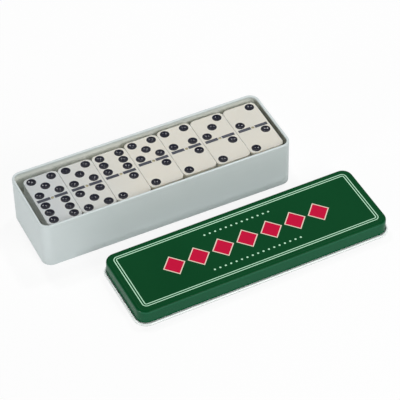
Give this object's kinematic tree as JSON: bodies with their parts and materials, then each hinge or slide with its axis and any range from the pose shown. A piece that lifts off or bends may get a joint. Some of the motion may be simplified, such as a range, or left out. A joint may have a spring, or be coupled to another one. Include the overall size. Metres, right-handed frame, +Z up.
{
  "type": "domino storage box",
  "caption": "Rectangular tin with rounded corners and a curled rim, holding stacked pipped dominoes with brass spinners; its slip-on lid lies beside it.",
  "frame": {"origin": "middle of the tin's underside, on the plane that the tin stands on", "axes": "+X along the tin and the row of dominoes, +Y towards the tin's rear, away from the lid that lies in front, +Z up"},
  "size_m": [0.2218, 0.1358, 0.0369],
  "materials": {
    "tin_wall": "satin bare tinplate",
    "tin_base": "dull bare tinplate",
    "lid_enamel": "gloss dark green enamel on tinplate",
    "domino_plastic": "polished ivory plastic",
    "spinner_brass": "polished brass"
  },
  "bodies": {
    "tin": {"tin_body": "tin_wall", "tin_base": "tin_base"},
    "lid": {"lid": "lid_enamel"},
    "tile_0_0": {"domino_0_0": "domino_plastic", "spinner_0_0": "spinner_brass"},
    "tile_0_1": {"domino_0_1": "domino_plastic", "spinner_0_1": "spinner_brass"},
    "tile_0_2": {"domino_0_2": "domino_plastic", "spinner_0_2": "spinner_brass"},
    "tile_0_3": {"domino_0_3": "domino_plastic", "spinner_0_3": "spinner_brass"},
    "tile_0_4": {"domino_0_4": "domino_plastic", "spinner_0_4": "spinner_brass"},
    "tile_0_5": {"domino_0_5": "domino_plastic", "spinner_0_5": "spinner_brass"},
    "tile_0_6": {"domino_0_6": "domino_plastic", "spinner_0_6": "spinner_brass"},
    "tile_1_1": {"domino_1_1": "domino_plastic", "spinner_1_1": "spinner_brass"},
    "tile_1_2": {"domino_1_2": "domino_plastic", "spinner_1_2": "spinner_brass"},
    "tile_1_3": {"domino_1_3": "domino_plastic", "spinner_1_3": "spinner_brass"},
    "tile_1_4": {"domino_1_4": "domino_plastic", "spinner_1_4": "spinner_brass"},
    "tile_1_5": {"domino_1_5": "domino_plastic", "spinner_1_5": "spinner_brass"},
    "tile_1_6": {"domino_1_6": "domino_plastic", "spinner_1_6": "spinner_brass"},
    "tile_3_3": {"domino_3_3": "domino_plastic", "spinner_3_3": "spinner_brass"},
    "tile_3_4": {"domino_3_4": "domino_plastic", "spinner_3_4": "spinner_brass"},
    "tile_3_5": {"domino_3_5": "domino_plastic", "spinner_3_5": "spinner_brass"},
    "tile_3_6": {"domino_3_6": "domino_plastic", "spinner_3_6": "spinner_brass"},
    "tile_4_4": {"domino_4_4": "domino_plastic", "spinner_4_4": "spinner_brass"},
    "tile_4_5": {"domino_4_5": "domino_plastic", "spinner_4_5": "spinner_brass"},
    "tile_4_6": {"domino_4_6": "domino_plastic", "spinner_4_6": "spinner_brass"},
    "tile_6_6": {"domino_6_6": "domino_plastic", "spinner_6_6": "spinner_brass"},
    "tile_5_6": {"domino_5_6": "domino_plastic", "spinner_5_6": "spinner_brass"},
    "tile_5_5": {"domino_5_5": "domino_plastic", "spinner_5_5": "spinner_brass"},
    "tile_2_6": {"domino_2_6": "domino_plastic", "spinner_2_6": "spinner_brass"},
    "tile_2_5": {"domino_2_5": "domino_plastic", "spinner_2_5": "spinner_brass"},
    "tile_2_4": {"domino_2_4": "domino_plastic", "spinner_2_4": "spinner_brass"},
    "tile_2_3": {"domino_2_3": "domino_plastic", "spinner_2_3": "spinner_brass"},
    "tile_2_2": {"domino_2_2": "domino_plastic", "spinner_2_2": "spinner_brass"}
  },
  "joints": [
    {"name": "lid_lift", "type": "slide", "parent": "tin", "child": "lid", "axis": [0, 0, 1], "range_m": [0, 0.12]},
    {"name": "tile_0_0_lift", "type": "slide", "parent": "tin", "child": "tile_0_0", "axis": [0, 0, 1], "range_m": [0, 0.045]},
    {"name": "tile_0_1_lift", "type": "slide", "parent": "tin", "child": "tile_0_1", "axis": [0, 0, 1], "range_m": [0, 0.045]},
    {"name": "tile_0_2_lift", "type": "slide", "parent": "tin", "child": "tile_0_2", "axis": [0, 0, 1], "range_m": [0, 0.045]},
    {"name": "tile_0_3_lift", "type": "slide", "parent": "tin", "child": "tile_0_3", "axis": [0, 0, 1], "range_m": [0, 0.045]},
    {"name": "tile_0_4_lift", "type": "slide", "parent": "tin", "child": "tile_0_4", "axis": [0, 0, 1], "range_m": [0, 0.045]},
    {"name": "tile_0_5_lift", "type": "slide", "parent": "tin", "child": "tile_0_5", "axis": [0, 0, 1], "range_m": [0, 0.045]},
    {"name": "tile_0_6_lift", "type": "slide", "parent": "tin", "child": "tile_0_6", "axis": [0, 0, 1], "range_m": [0, 0.045]},
    {"name": "tile_1_1_lift", "type": "slide", "parent": "tile_0_0", "child": "tile_1_1", "axis": [0, 0, 1], "range_m": [0, 0.045]},
    {"name": "tile_1_2_lift", "type": "slide", "parent": "tile_0_1", "child": "tile_1_2", "axis": [0, 0, 1], "range_m": [0, 0.045]},
    {"name": "tile_1_3_lift", "type": "slide", "parent": "tile_0_2", "child": "tile_1_3", "axis": [0, 0, 1], "range_m": [0, 0.045]},
    {"name": "tile_1_4_lift", "type": "slide", "parent": "tile_0_3", "child": "tile_1_4", "axis": [0, 0, 1], "range_m": [0, 0.045]},
    {"name": "tile_1_5_lift", "type": "slide", "parent": "tile_0_4", "child": "tile_1_5", "axis": [0, 0, 1], "range_m": [0, 0.045]},
    {"name": "tile_1_6_lift", "type": "slide", "parent": "tile_0_5", "child": "tile_1_6", "axis": [0, 0, 1], "range_m": [0, 0.045]},
    {"name": "tile_3_3_lift", "type": "slide", "parent": "tile_0_6", "child": "tile_3_3", "axis": [0, 0, 1], "range_m": [0, 0.045]},
    {"name": "tile_3_4_lift", "type": "slide", "parent": "tile_1_1", "child": "tile_3_4", "axis": [0, 0, 1], "range_m": [0, 0.045]},
    {"name": "tile_3_5_lift", "type": "slide", "parent": "tile_1_2", "child": "tile_3_5", "axis": [0, 0, 1], "range_m": [0, 0.045]},
    {"name": "tile_3_6_lift", "type": "slide", "parent": "tile_1_3", "child": "tile_3_6", "axis": [0, 0, 1], "range_m": [0, 0.045]},
    {"name": "tile_4_4_lift", "type": "slide", "parent": "tile_1_4", "child": "tile_4_4", "axis": [0, 0, 1], "range_m": [0, 0.045]},
    {"name": "tile_4_5_lift", "type": "slide", "parent": "tile_1_5", "child": "tile_4_5", "axis": [0, 0, 1], "range_m": [0, 0.045]},
    {"name": "tile_4_6_lift", "type": "slide", "parent": "tile_1_6", "child": "tile_4_6", "axis": [0, 0, 1], "range_m": [0, 0.045]},
    {"name": "tile_6_6_lift", "type": "slide", "parent": "tile_3_3", "child": "tile_6_6", "axis": [0, 0, 1], "range_m": [0, 0.045]},
    {"name": "tile_5_6_lift", "type": "slide", "parent": "tile_3_4", "child": "tile_5_6", "axis": [0, 0, 1], "range_m": [0, 0.045]},
    {"name": "tile_5_5_lift", "type": "slide", "parent": "tile_3_5", "child": "tile_5_5", "axis": [0, 0, 1], "range_m": [0, 0.045]},
    {"name": "tile_2_6_lift", "type": "slide", "parent": "tile_3_6", "child": "tile_2_6", "axis": [0, 0, 1], "range_m": [0, 0.045]},
    {"name": "tile_2_5_lift", "type": "slide", "parent": "tile_4_4", "child": "tile_2_5", "axis": [0, 0, 1], "range_m": [0, 0.045]},
    {"name": "tile_2_4_lift", "type": "slide", "parent": "tile_4_5", "child": "tile_2_4", "axis": [0, 0, 1], "range_m": [0, 0.045]},
    {"name": "tile_2_3_lift", "type": "slide", "parent": "tile_4_6", "child": "tile_2_3", "axis": [0, 0, 1], "range_m": [0, 0.045]},
    {"name": "tile_2_2_lift", "type": "slide", "parent": "tile_6_6", "child": "tile_2_2", "axis": [0, 0, 1], "range_m": [0, 0.045]}
  ]
}
